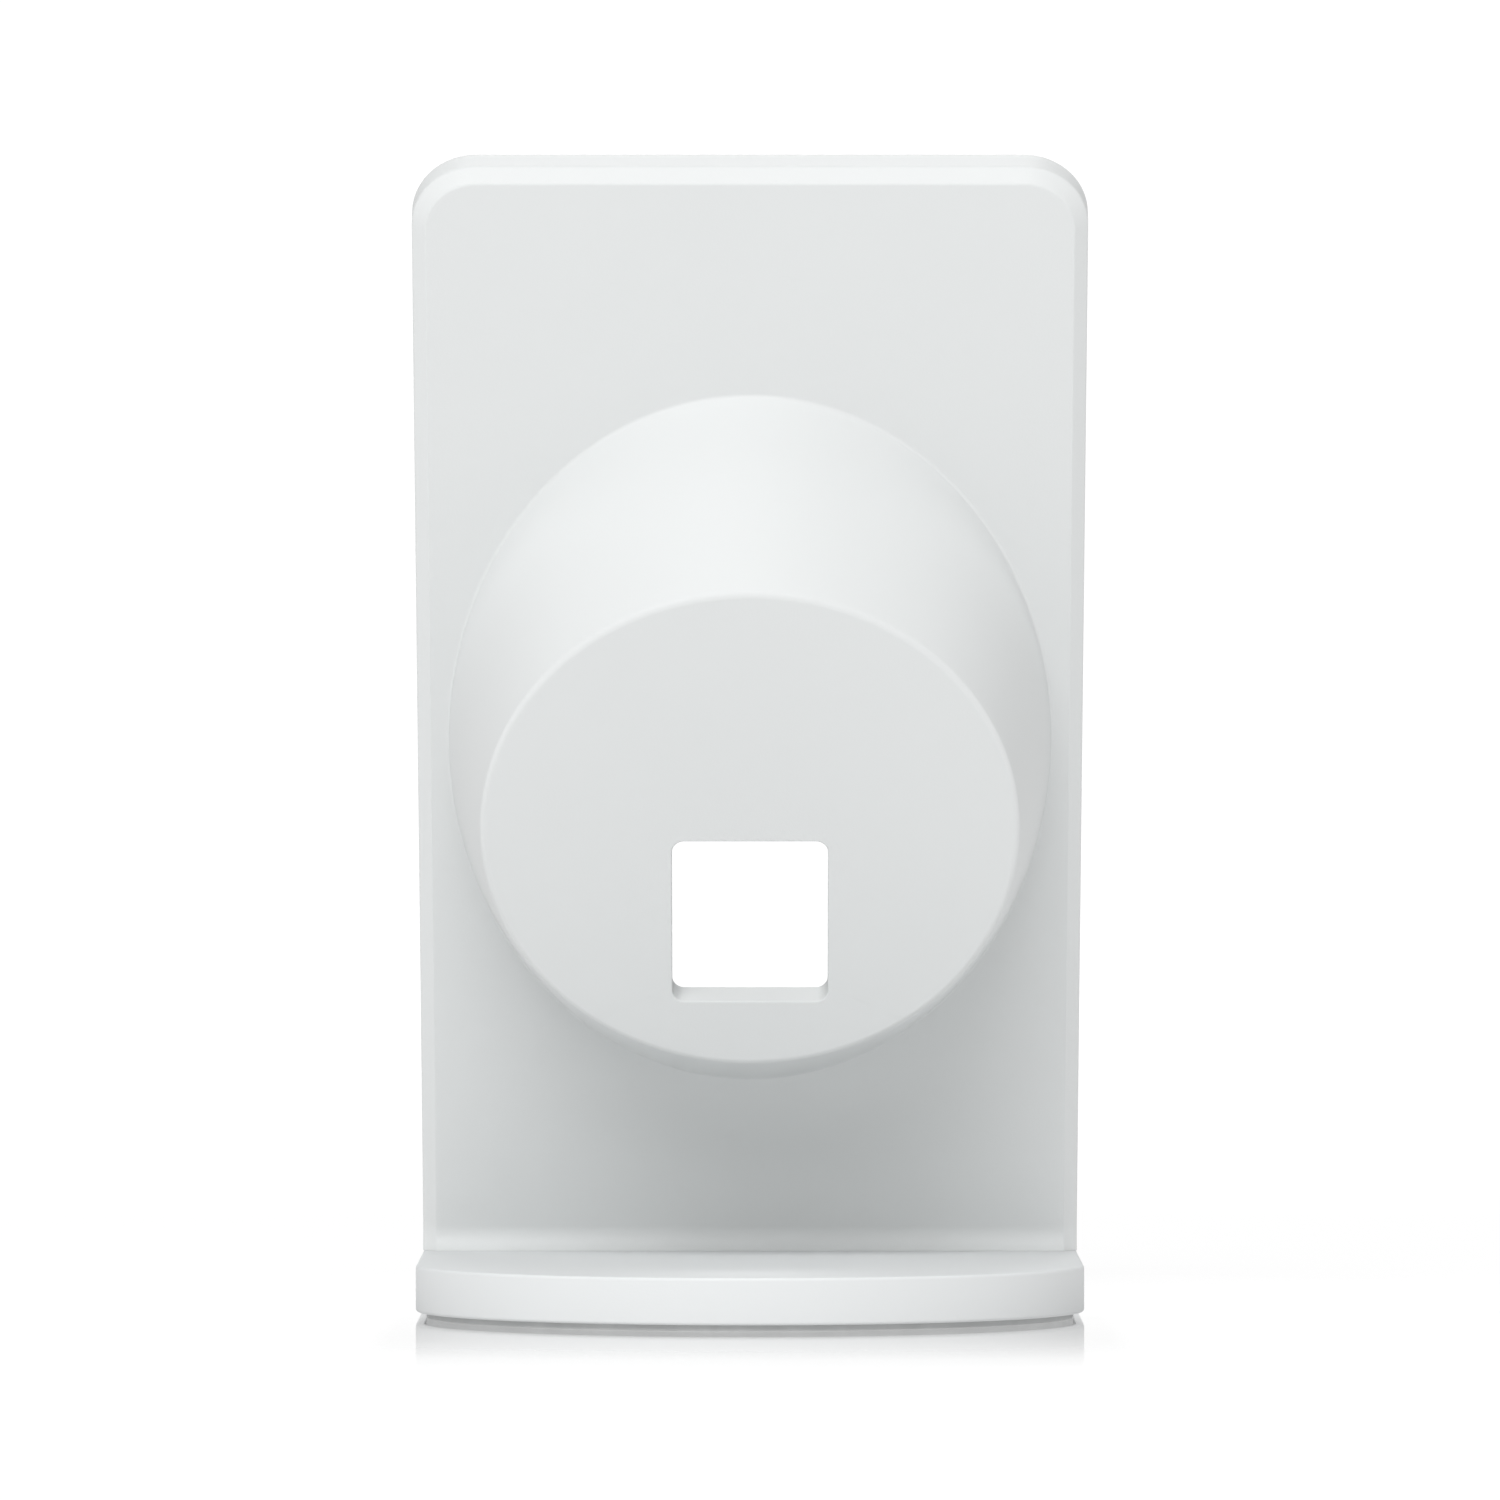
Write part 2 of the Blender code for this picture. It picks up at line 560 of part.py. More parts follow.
def make_foot_fasteners(seat, steel, brass):
    for side, across in (("left", -1), ("right", 1)):
        for word, row in (("rear", BALLAST_SCREW_ROWS[0]), ("front", BALLAST_SCREW_ROWS[1])):
            name = f"ballast_screw_{word}_{side}"
            place = (across * BALLAST_SCREW_X, CREASE_Y - row, PAD_TOP + GAP)
            low_head_screw(name, None, place, BALLAST_HEAD, BALLAST_SCREW_LENGTH, steel)
        bottom = SOCKET_FLOOR - GAP - ROOT_HEAD
        place = (across * ROOT_SCREW_X, ROOT_SCREW_BACK, bottom - FOOT_TOP)
        low_head_screw(f"upright_screw_{side}", seat, place, ROOT_HEAD, ROOT_SCREW_LENGTH, steel)
        name = f"thread_insert_{side}"
        outer, inner = INSERT_RADIUS, SHANK_RADIUS + THREAD_GAP
        insert = new_object(name, prism(name, circle(outer), 0.0, INSERT_LENGTH), seat, brass)
        insert.location = (across * ROOT_SCREW_X, ROOT_SCREW_BACK, TONGUE_LOW + GAP - FOOT_TOP)
        bore = prism("bore", circle(inner), -PAST, INSERT_LENGTH + PAST)
        boolean(insert, "DIFFERENCE", bore, insert)
        smooth(insert)


def make_pad(finish):
    pad = [foot_ring(PAD_INSET, level, FOOT_LOW) for level in (0.0, PAD_TOP)]
    smooth(new_object("rubber_pad", loft("rubber_pad", pad), None, finish))


def main():
    for old in list(bpy.data.objects):
        bpy.data.objects.remove(old)

    shell_plastic = material("shell_plastic", (0.76, 0.78, 0.78), 0.5)
    lever_plastic = material("lever_plastic", (0.42, 0.44, 0.45), 0.5)
    plated_steel = material("plated_steel", (0.62, 0.63, 0.64), 0.35, 1.0)
    screw_steel = material("screw_steel", (0.5, 0.5, 0.52), 0.3, 1.0)
    spring_steel = material("spring_steel", (0.45, 0.45, 0.47), 0.3, 1.0)
    ballast_steel = material("ballast_steel", (0.3, 0.31, 0.32), 0.5, 1.0)
    brass = material("brass", (0.72, 0.53, 0.25), 0.35, 1.0)
    pad_rubber = material("pad_rubber", (0.3, 0.31, 0.32), 0.8)

    seat = frame_empty("seat", (0.0, SEAT_Y, FOOT_TOP))
    frame = frame_empty("upright_frame", (0.0, SEAT_Y, FOOT_TOP), math.pi / 2 + LEAN)
    make_upright(frame, seat, shell_plastic)
    make_mounting_plate(frame, plated_steel)
    make_plate_screws(frame, screw_steel)
    make_lock(frame, lever_plastic, screw_steel, spring_steel)
    make_foot(seat, shell_plastic)
    make_ballast(ballast_steel)
    make_foot_fasteners(seat, screw_steel, brass)
    make_pad(pad_rubber)


main()
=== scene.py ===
import json
import math

import bmesh
import bpy
import numpy as np
from mathutils import Matrix, Vector


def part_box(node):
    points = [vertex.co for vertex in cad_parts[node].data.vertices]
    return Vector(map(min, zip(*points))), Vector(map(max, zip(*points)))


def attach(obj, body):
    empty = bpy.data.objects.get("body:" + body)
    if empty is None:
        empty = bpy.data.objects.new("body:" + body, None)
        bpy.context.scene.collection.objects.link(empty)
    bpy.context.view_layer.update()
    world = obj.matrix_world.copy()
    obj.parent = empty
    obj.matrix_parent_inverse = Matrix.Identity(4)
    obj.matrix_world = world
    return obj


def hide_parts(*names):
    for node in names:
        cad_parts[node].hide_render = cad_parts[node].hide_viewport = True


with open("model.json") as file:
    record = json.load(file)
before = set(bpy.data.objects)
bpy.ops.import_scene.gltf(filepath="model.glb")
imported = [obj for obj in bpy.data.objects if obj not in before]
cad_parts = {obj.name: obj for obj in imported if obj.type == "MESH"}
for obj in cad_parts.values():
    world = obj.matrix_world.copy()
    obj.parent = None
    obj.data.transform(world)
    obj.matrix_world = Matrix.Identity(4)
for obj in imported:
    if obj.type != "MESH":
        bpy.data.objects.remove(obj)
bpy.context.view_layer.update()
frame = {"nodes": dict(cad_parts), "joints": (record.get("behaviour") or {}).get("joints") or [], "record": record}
MM = 0.001

# Sizes of the moulding, in the upright's own frame: X across, S up the plate, N out of its near face.
PLATE_DEPTH = 5.0 * MM
PLATE_HEIGHT = 159.4 * MM
PLATE_CORNER = 8.25 * MM
CHAMFER_IN = 1.75 * MM
CHAMFER_DEEP = 1.6 * MM
NEAR_WALL = 1.8 * MM
RIM_WALL = 2.0 * MM
COVE_START = 3.74 * MM
COVE_RADIUS = 2.5 * MM
SEAM = 0.02 * MM
HUB_CENTRE = 77.0 * MM
HUB_LENGTH = 24.0 * MM
HUB_RADIUS = 34.5 * MM
HUB_REAR = (38.9 * MM, 50.5 * MM)
HUB_REAR_SHIFT = -0.25 * MM
HUB_WALL = 2.2 * MM
HUB_FACE_WALL = 3.85 * MM
WINDOW_HALF = (10.0 * MM, 11.8 * MM)
WINDOW_CENTRE = 63.6 * MM
WINDOW_CORNER = 1.6 * MM
WINDOW_EDGE = 0.22 * MM
RAY_CROWDING = 0.16
POST = (24.0 * MM, 29.0 * MM)
POST_RADIUS = 3.0 * MM
POST_END = 9.0 * MM
POST_BORE = 5.0 * MM
SHANK_RADIUS = 1.15 * MM
HUB_RIM = 0.75 * MM
HUB_ROOT = 0.4 * MM
EDGE = 0.3 * MM
CRISP_EDGE = 0.05 * MM
RIM_EDGE = 0.2 * MM
CAVITY_EDGE = 0.8 * MM
POCKET_CORNER = 3.0 * MM

# Mounting plate, hooks and lock
SHEET = 1.4 * MM
SHEET_LOW = 11.0 * MM
SHEET_INSET = 2.3 * MM
SHEET_EDGE = 0.16 * MM
OPENING_HALF = (33.0 * MM, 45.0 * MM)
EAR_RADIUS = 4.4 * MM
SCREW_HEAD = 2.3 * MM
SCREW_HEAD_DEEP = 1.25 * MM
SCREW_LENGTH = 9.0 * MM
HOOK_X = 24.0 * MM
HOOK_LEVELS = (19.0 * MM, 143.0 * MM)
HOOK_WIDTH = 7.0 * MM
HOOK_REACH = 3.6 * MM
HOOK_LIP = 4.0 * MM
HOOK_ROOT = 1.2 * MM
HOOK_BEND = 0.9 * MM
PIN_RADIUS = 0.8 * MM
LUG_X = 8.6 * MM
LUG_THICK = 1.5 * MM
LUG_RISE = 3.6 * MM
KNUCKLE_RADIUS = 2.2 * MM
LEVER_HALF_WIDTH = 8.2 * MM
LEVER_LENGTH = 20.0 * MM
LEVER_THICK = 1.6 * MM
LEVER_NOTCH = 2.6 * MM
LEVER_SETBACK = 0.4 * MM
NOSE_REACH = 2.8 * MM
NOSE_HALF_WIDTH = 5.0 * MM
NOSE_FROM, NOSE_TO = 13.6 * MM, 17.0 * MM
SPRING_ROOM = 3.6 * MM
SPRING_TURNS = 5
WIRE_RADIUS = 0.25 * MM
LEVER_LEG = 6.6 * MM
PLATE_LEG = 5.0 * MM
LEVER_LEG_TURN, PLATE_LEG_TURN = -19, 32

# Foot and pad
FOOT_EDGE = 0.45 * MM
BACK_CORNER = 2.0 * MM
FOOT_WALL = 2.0 * MM
PAD_INSET = 1.4 * MM

# Points along a rounded edge, and along each stretch of the panel's outline
EASE_STEPS = 4
BOTTOM_RUN, CORNER_RUN, SIDE_RUN, TOP_CORNER_RUN, TOP_RUN = 60, 22, 88, 20, 52

# The foot is its own moulding, in a lighter copy of the same white plastic: painted light that brightens the foot.
UPRIGHT_WHITE = (0.65, 0.664, 0.664)
FOOT_WHITE_PAINTED_LIGHT = (0.74, 0.756, 0.76)

# Camera
LENS, TILT_DOWN = 387.3, 0.44
CAMERA_BACK, CAMERA_HEIGHT = 2120.4 * MM, 88.9 * MM

# Studio: each softbox's rise above the table and turn to the left in degrees, size and watts
SOFTBOXES = {
    "key": (34.0, 9.5, (1.25, 1.1), 28.0),
    "top": (80.0, 0.0, (0.7, 0.7), 3.0),
    "left_fill": (25.0, 90.0, (0.7, 0.7), 4.4),
    "right_fill": (25.0, -90.0, (0.7, 0.7), 4.4),
    "back": (55.0, 180.0, (0.9, 0.9), 9.0),
}
LIGHT_DISTANCE = 2.0
SKY = 0.35
HORIZON, HORIZON_LOW, HORIZON_HIGH = 1.06, 0.06, 0.09

# Table: its glow far off, its glow near the stand dimmed as painted shade, the painted contact shade in front of
# the foot, and its clear coat
TABLE_GLOW, NEAR_GLOW_PAINTED_SHADE = 1.0, 0.81
OPEN_RATE, OPEN_DELAY = 0.8, 0.25
CONTACT_PAINTED_SHADE, CONTACT_REACH = 0.55, 0.08
CONTACT_MARGIN, SIDE_RATE, REAR_RATE = 8.0 * MM, 160.0, 50.0
GLASS_IOR, GLASS_FADE = 1.5, 0.11

# The frame's own places
foot_low, foot_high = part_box("foot_shell")
pad_low, pad_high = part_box("rubber_pad")
device_face = next(m for m in frame["record"]["mounts"] if m["name"] == "device_face")
pivot = Vector(frame["joints"][0]["pos_m"])
far_normal = Vector(device_face["axis"])
LEAN = math.atan2(far_normal.z, far_normal.y)
SIN, COS = math.sin(LEAN), math.cos(LEAN)
HALF = foot_high.x
FOOT_TOP = foot_high.z
NOSE_Y = foot_low.y + HALF

across, up, near = Vector((1, 0, 0)), Vector((0, -SIN, COS)), -far_normal
near_point = Vector(device_face["pos_m"]) + near * PLATE_DEPTH
seat = near_point - up * ((near_point.z - FOOT_TOP) / COS)
seat.x = 0.0


def axes_matrix(x_axis, y_axis, z_axis, origin):
    made = Matrix((x_axis, y_axis, z_axis)).transposed().to_4x4()
    made.translation = origin
    return made


UPRIGHT = axes_matrix(across, up, near, seat)
SIDEWAYS = axes_matrix(up, near, across, seat)
LEVER = axes_matrix(across, up, near, pivot)
LEVER_SIDE = axes_matrix(up, near, across, pivot)
PIVOT_S = (pivot - seat).dot(up)
PIVOT_N = (pivot - seat).dot(near)
SHEET_NEAR = -PLATE_DEPTH + SHEET

# The cove's own circle, seen from the side with the seat as its origin
COVE_Y = -COVE_START * SIN - COVE_RADIUS * COS
COVE_Z = COVE_START * COS - COVE_RADIUS * SIN
CREASE_Y = seat.y + COVE_Y + math.sqrt(COVE_RADIUS**2 - COVE_Z**2)


# ---------------------------------------------------------------- mesh tools

def new_piece(name, mesh, body, slot, node):
    made = bpy.data.objects.new(name, mesh)
    bpy.context.scene.collection.objects.link(made)
    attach(made, body)
    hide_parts(node)
    made.data.materials.append(FINISHES[slot])
    return made


def smooth(made, degrees=40):
    """Soft shading that keeps the flats flat: each normal follows its largest faces."""
    made.data.shade_smooth()
    made.data.set_sharp_from_angle(angle=math.radians(degrees))
    weighted = made.modifiers.new("flat_faces", "WEIGHTED_NORMAL")
    weighted.weight = 90
    weighted.keep_sharp = True
    return made


def eased(stations, loop=False):
    """Rings through (ring, radius) stations, each corner rounded by a short curve of that radius."""
    count = len(stations)
    rings = []
    for i, (corner, radius) in enumerate(stations):
        first_or_last = i in (0, count - 1)
        if np.max(radius) <= 0 or (first_or_last and not loop):
            rings.append(corner)
            continue
        sides = []
        for j in (i - 1, (i + 1) % count):
            run = stations[j][0] - corner
            length = np.maximum(np.linalg.norm(run, axis=1, keepdims=True), 1e-9)
            reach = np.minimum(np.reshape(radius, (-1, 1)), 0.45 * length)
            sides.append(corner + run / length * reach)
        for t in np.linspace(0, 1, EASE_STEPS + 1):
            rings.append((1 - t) ** 2 * sides[0] + 2 * t * (1 - t) * corner + t * t * sides[1])
    return rings


def loft(name, rings, place=None, loop=False):
    """Mesh through closed rings of equally many points. Its ends are capped, or joined in a loop."""
    count = len(rings[0])
    points = np.concatenate(rings)
    last = len(rings) if loop else len(rings) - 1
    faces = []
    for k in range(last):
        low, high = k * count, (k + 1) % len(rings) * count
        for i in range(count):
            j = (i + 1) % count
            faces.append((low + i, low + j, high + j, high + i))
    if not loop:
        faces.append(tuple(range(count)))
        faces.append(tuple(range(last * count, (last + 1) * count)))
    mesh = bpy.data.meshes.new(name)
    mesh.from_pydata(points.tolist(), [], faces)
    work = bmesh.new()
    work.from_mesh(mesh)
    bmesh.ops.recalc_face_normals(work, faces=work.faces)
    work.to_mesh(mesh)
    work.free()
    if place is not None:
        mesh.transform(place)
    return mesh


def turned(name, profile, place, steps=64, ease=0.12 * MM):
    """Solid of revolution about the place's Z, through (radius, height) stations with eased edges."""
    turn = 2 * math.pi * np.arange(steps) / steps
    stations = []
    for radius, height in profile:
        ring = np.stack([radius * np.cos(turn), radius * np.sin(turn), np.full(steps, height)], axis=1)
        stations.append((ring, ease))
    return loft(name, eased(stations), place)


def pressed(name, outlines, low, high, place, ease=SHEET_EDGE):
    """Flat piece from closed outlines, the first its edge and the others holes, with eased rims."""
    curve = bpy.data.curves.new(name, "CURVE")
    curve.dimensions = "2D"
    curve.fill_mode = "BOTH"
    curve.extrude = (high - low) / 2 - ease
    curve.bevel_depth = ease
    curve.bevel_resolution = 1
    curve.offset = -ease
    for outline in outlines:
        line = curve.splines.new("POLY")
        line.points.add(len(outline) - 1)
        for point, (x, y) in zip(line.points, outline):
            point.co = (x, y, 0.0, 1.0)
        line.use_cyclic_u = True
    holder = bpy.data.objects.new(name, curve)
    bpy.context.scene.collection.objects.link(holder)
    bpy.context.view_layer.update()
    mesh = bpy.data.meshes.new_from_object(holder.evaluated_get(bpy.context.evaluated_depsgraph_get()))
    bpy.data.objects.remove(holder)
    bpy.data.curves.remove(curve)
    mesh.name = name
    work = bmesh.new()
    work.from_mesh(mesh)
    bmesh.ops.remove_doubles(work, verts=work.verts, dist=0.002 * MM)
    bmesh.ops.recalc_face_normals(work, faces=work.faces)
    work.to_mesh(mesh)
    work.free()
    mesh.materials.clear()
    mesh.transform(place @ Matrix.Translation((0, 0, (low + high) / 2)))
    return mesh


def combined(name, base, joins=(), cuts=()):
    """One solid from a base mesh, the meshes joined to it and the meshes cut out of it."""
    holder = bpy.data.objects.new(name, base)
    bpy.context.scene.collection.objects.link(holder)
    helpers = []
    for operation, meshes in (("UNION", joins), ("DIFFERENCE", cuts)):
        for mesh in meshes:
            helper = bpy.data.objects.new(mesh.name, mesh)
            bpy.context.scene.collection.objects.link(helper)
            helpers.append(helper)
            step = holder.modifiers.new(mesh.name, "BOOLEAN")
            step.operation = operation
            step.object = helper
            step.solver = "EXACT"
    bpy.context.view_layer.update()
    mesh = bpy.data.meshes.new_from_object(holder.evaluated_get(bpy.context.evaluated_depsgraph_get()))
    for spent in [holder, *helpers]:
        bpy.data.objects.remove(spent)
    mesh.name = name
    mesh.materials.clear()
    return mesh


def gathered(name, meshes):
    """One mesh of several solids that bear on each other."""
    work = bmesh.new()
    for mesh in meshes:
        work.from_mesh(mesh)
    made = bpy.data.meshes.new(name)
    work.to_mesh(made)
    work.free()
    return made


def arc(centre, radius, start, end, steps):
    turn = np.radians(np.linspace(start, end, steps + 1))
    return [(centre[0] + radius * math.cos(a), centre[1] + radius * math.sin(a)) for a in turn]


def round_corners(points, radius, steps=6):
    """Closed outline whose corners are rounded by short curves."""
    corners = [Vector(p) for p in points]
    outline = []
    for i, corner in enumerate(corners):
        before, after = corners[i - 1] - corner, corners[(i + 1) % len(corners)] - corner
        first = corner + before.normalized() * min(radius, before.length * 0.48)
        last = corner + after.normalized() * min(radius, after.length * 0.48)
        for k in range(steps + 1):
            t = k / steps
            outline.append(tuple((1 - t) ** 2 * first + 2 * t * (1 - t) * corner + t * t * last))
    return outline


# ---------------------------------------------------------------- the upright

def panel_ring(half_width, bottom, top, top_radius, bottom_radius=0.0, knee=None):
    """(x, s) points round a panel, from its lower left corner. Each stretch has a fixed count of points.

    A square lower corner spends its points on the straight run up to the knee instead of on an arc."""
    x = half_width
    lower_edge = [((x - bottom_radius) * t, bottom) for t in np.linspace(-1, 1, BOTTOM_RUN, endpoint=False)]
    if bottom_radius:
        right = arc((x - bottom_radius, bottom + bottom_radius), bottom_radius, -90, 0, CORNER_RUN)
    else:
        right = [(x, bottom + (knee - bottom) * k / CORNER_RUN) for k in range(CORNER_RUN + 1)]
    start = right[-1][1]
    end = top - top_radius
    side = [(x, start + (end - start) * k / SIDE_RUN) for k in range(1, SIDE_RUN)]
    corner = arc((x - top_radius, end), top_radius, 0, 90, TOP_CORNER_RUN)
    half = right + side + corner
    top_edge = [((x - top_radius) * t, top) for t in np.linspace(1, -1, TOP_RUN + 1)[1:-1]]
    left = [(-a, b) for a, b in reversed(half)]
    return np.array(lower_edge + half + top_edge + left[:-1])


def lift(outline, level):
    """(x, s) points at one depth N."""
    return np.column_stack([outline, np.full(len(outline), level)])


def seat_line(level):
    """Distance S, at a depth N, where the upright ends on the foot."""
    return (SEAM + level * SIN) / COS


def bent(outline, depth):
    """(x, s) points at a depth below the near face, which curls forward to the foot in the cove."""
    radius = COVE_RADIUS + depth
    placed = []
    for x, run in outline:
        if run >= COVE_START:
            placed.append((x, run, -depth))
            continue
        angle = LEAN - (COVE_START - run) / COVE_RADIUS
        y, z = COVE_Y + radius * math.cos(angle), COVE_Z + radius * math.sin(angle)
        placed.append((x, -y * SIN + z * COS, -y * COS - z * SIN))
    return np.array(placed)


def bent_end(depth):
    """Length along the bent face, at a depth, where it meets the foot."""
    return COVE_START - COVE_RADIUS * (LEAN + math.asin((COVE_Z - SEAM) / (COVE_RADIUS + depth)))


def oval_ring(turn, level, wall=0.0):
    """Ring of the hub's ruled side at a depth N: an oval on the plate that runs out to a round face."""
    share = max(level, 0.0) / HUB_LENGTH
    half_width = HUB_REAR[0] + (HUB_RADIUS - HUB_REAR[0]) * share - wall
    half_height = HUB_REAR[1] + (HUB_RADIUS - HUB_REAR[1]) * share - wall
    centre = HUB_CENTRE + HUB_REAR_SHIFT * (1 - share)
    return np.stack([half_width * np.cos(turn), centre + half_height * np.sin(turn),
                     np.full(len(turn), level)], axis=1)


def window_ring(turn, level):
    """Ring of the window's rounded rectangle, met by rays from its centre that crowd to its corners."""
    rim = oval_ring(turn, HUB_LENGTH)
    half = np.array(WINDOW_HALF)
    corner = half - WINDOW_CORNER
    aim = np.arctan2((rim[:, 1] - WINDOW_CENTRE) / half[1], rim[:, 0] / half[0])
    aim += RAY_CROWDING * np.sin(4 * aim)
    points = []
    for a in aim:
        ray = np.array([math.cos(a), math.sin(a)]) * half
        ray /= np.linalg.norm(ray)
        reach = np.min(half / np.maximum(np.abs(ray), 1e-9))
        if np.all(np.abs(ray * reach) > corner):
            along = np.abs(ray) @ corner
            reach = along + math.sqrt(max(along**2 - corner @ corner + WINDOW_CORNER**2, 0.0))
        points.append((ray[0] * reach, WINDOW_CENTRE + ray[1] * reach, level))
    return np.array(points)


def ears():
    """(x, s) of the four screws."""
    return [(side * POST[0], HUB_CENTRE + level * POST[1]) for side in (-1, 1) for level in (-1, 1)]


def make_upright():
    """Plate, cove and hub in one skin of rings that starts and ends at the window."""
    face = panel_ring(HALF - CHAMFER_IN, bent_end(0.0), PLATE_HEIGHT - CHAMFER_IN, PLATE_CORNER - CHAMFER_IN,
                      knee=COVE_START)
    chamfer = panel_ring(HALF, bent_end(CHAMFER_DEEP), PLATE_HEIGHT, PLATE_CORNER, knee=COVE_START)
    far = panel_ring(HALF, seat_line(-PLATE_DEPTH), PLATE_HEIGHT, PLATE_CORNER, knee=COVE_START)
    pocket = panel_ring(HALF - RIM_WALL, SHEET_LOW - EDGE, PLATE_HEIGHT - RIM_WALL, PLATE_CORNER - RIM_WALL,
                        bottom_radius=POCKET_CORNER)
    turn = np.arctan2((face[:, 1] - HUB_CENTRE) / HUB_REAR[1], face[:, 0] / HUB_REAR[0])

    # The lower edge meets the foot in a crisp line.
    crisp = np.where(face[:, 1] < bent_end(0.0) + 0.01 * MM, CRISP_EDGE, EDGE)
    root = oval_ring(turn, 0.0)
    stations = [
        (window_ring(turn, HUB_LENGTH), WINDOW_EDGE),
        (oval_ring(turn, HUB_LENGTH), HUB_RIM),
        (root, HUB_ROOT),
    ]
    # Rings across the plate's face, closest where it bends into the cove
    for share in np.concatenate([[0.4, 0.75], np.linspace(0.83, 0.99, 22)]):
        flat = root[:, :2] + (face - root[:, :2]) * share
        stations.append((bent(flat, 0.0), 0.0))
    stations += [
        (bent(face, 0.0), crisp),
        (bent(chamfer, CHAMFER_DEEP), crisp),
        (lift(far, -PLATE_DEPTH), np.minimum(crisp, RIM_EDGE)),
        (lift(pocket, -PLATE_DEPTH), RIM_EDGE),
        (lift(pocket, -NEAR_WALL), EDGE),
        (oval_ring(turn, -NEAR_WALL, HUB_WALL), EDGE),
        (oval_ring(turn, 0.0, HUB_WALL), HUB_ROOT),
        (oval_ring(turn, HUB_LENGTH - HUB_FACE_WALL, HUB_WALL), CAVITY_EDGE),
        (window_ring(turn, HUB_LENGTH - HUB_FACE_WALL), WINDOW_EDGE),
    ]
    skin = loft("upright_body", eased(stations, loop=True), UPRIGHT, loop=True)
    posts = []
    bores = []
    for x, s in ears():
        place = UPRIGHT @ Matrix.Translation((x, s, 0.0))
        posts.append(turned("post", ((POST_RADIUS, SHEET_NEAR + EDGE), (POST_RADIUS, POST_END)), place, 48))
        bore = ((SHANK_RADIUS + 0.15 * MM, -PLATE_DEPTH), (SHANK_RADIUS, POST_BORE))
        bores.append(turned("bore", bore, place, 32))
    mesh = combined("upright_body", skin, posts, bores)
    smooth(new_piece("upright_body", mesh, "stand", "shell_plastic", "upright_shell"))


# ---------------------------------------------------------------- the foot

def foot_ring(inset, level, back_level=None, steps=96):
    """Plan of the foot at a height: half round nose, straight sides, back in line with the far face."""
    radius = HALF - inset
    shown = level if back_level is None else back_level
    back = min(seat.y + PLATE_DEPTH / COS + (FOOT_TOP - shown) * SIN / COS, foot_high.y) - inset
    corner = max(BACK_CORNER - inset, 0.4 * MM)
    outline = arc((0.0, NOSE_Y), radius, 180, 360, steps)
    outline += [(radius, NOSE_Y + (back - corner - NOSE_Y) * k / 20) for k in range(1, 20)]
    outline += arc((radius - corner, back - corner), corner, 0, 90, 8)
    outline += [((radius - corner) * t, back) for t in np.linspace(1, -1, 21)[1:-1]]
    outline += arc((corner - radius, back - corner), corner, 90, 180, 8)
    outline += [(-radius, back - corner + (NOSE_Y - back + corner) * k / 20) for k in range(1, 20)]
    return lift(np.array(outline), level)


def make_foot():
    ceiling = FOOT_TOP - FOOT_WALL
    rebate = pad_high.z + EDGE
    lip = foot_low.z
    stations = [
        (foot_ring(FOOT_WALL, ceiling, FOOT_TOP), 0.0),
        (foot_ring(FOOT_WALL, rebate, FOOT_TOP), 0.1 * MM),
        (foot_ring(PAD_INSET - EDGE, rebate, lip), 0.1 * MM),
        (foot_ring(PAD_INSET - EDGE, lip, lip), 0.15 * MM),
        (foot_ring(0.0, lip), FOOT_EDGE),
        (foot_ring(0.0, FOOT_TOP), FOOT_EDGE),
        (foot_ring(2 * FOOT_EDGE, FOOT_TOP), 0.0),
    ]
    mesh = loft("foot_body", eased(stations))
    made = smooth(new_piece("foot_body", mesh, "stand", "shell_plastic", "foot_shell"))
    # Painted light: the foot takes a lighter copy of the white plastic.
    made.data.materials[0] = moulded_white("moulded_white_foot_painted_light", FOOT_WHITE_PAINTED_LIGHT)


def make_pad():
    """Grip pad with eased rims."""
    inset = PAD_INSET
    stations = [
        (foot_ring(inset + 4 * MM, 0.0, foot_low.z), 0.0),
        (foot_ring(inset, 0.0, foot_low.z), 0.12 * MM),
        (foot_ring(inset, pad_high.z, foot_low.z), 0.08 * MM),
        (foot_ring(inset + 2 * MM, pad_high.z, foot_low.z), 0.0),
    ]
    mesh = loft("grip_pad", eased(stations))
    smooth(new_piece("grip_pad", mesh, "stand", "pad_rubber", "rubber_pad"))


# ---------------------------------------------------------------- the far side

def opening_outline(steps=360):
    """The oval opening, less the four ears that carry the screws."""
    outline = []
    for a in 2 * math.pi * np.arange(steps) / steps:
        d = np.array([math.cos(a), math.sin(a)])
        reach = 1 / math.hypot(d[0] / OPENING_HALF[0], d[1] / OPENING_HALF[1])
        for x, s in ears():
            centre = np.array([x, s - HUB_CENTRE])
            along = centre @ d
            off = centre @ centre - along**2
            if along > 0 and off < EAR_RADIUS**2:
                reach = min(reach, along - math.sqrt(EAR_RADIUS**2 - off))
        outline.append((d[0] * reach, HUB_CENTRE + d[1] * reach))
    return outline


def strip(path, thick, bend, steps=8):
    """Outline of a bent strip of even thickness along a path of corner points."""
    corners = [Vector(p) for p in path]
    line = [corners[0]]
    for before, corner, after in zip(corners, corners[1:], corners[2:]):
        first = corner + (before - corner).normalized() * bend
        last = corner + (after - corner).normalized() * bend
        for k in range(steps + 1):
            t = k / steps
            line.append((1 - t) ** 2 * first + 2 * t * (1 - t) * corner + t * t * last)
    line.append(corners[-1])
    left, right = [], []
    for i, point in enumerate(line):
        run = (line[min(i + 1, len(line) - 1)] - line[max(i - 1, 0)]).normalized()
        side = Vector((-run.y, run.x)) * thick / 2
        left.append(tuple(point + side))
        right.append(tuple(point - side))
    return right + left[::-1]


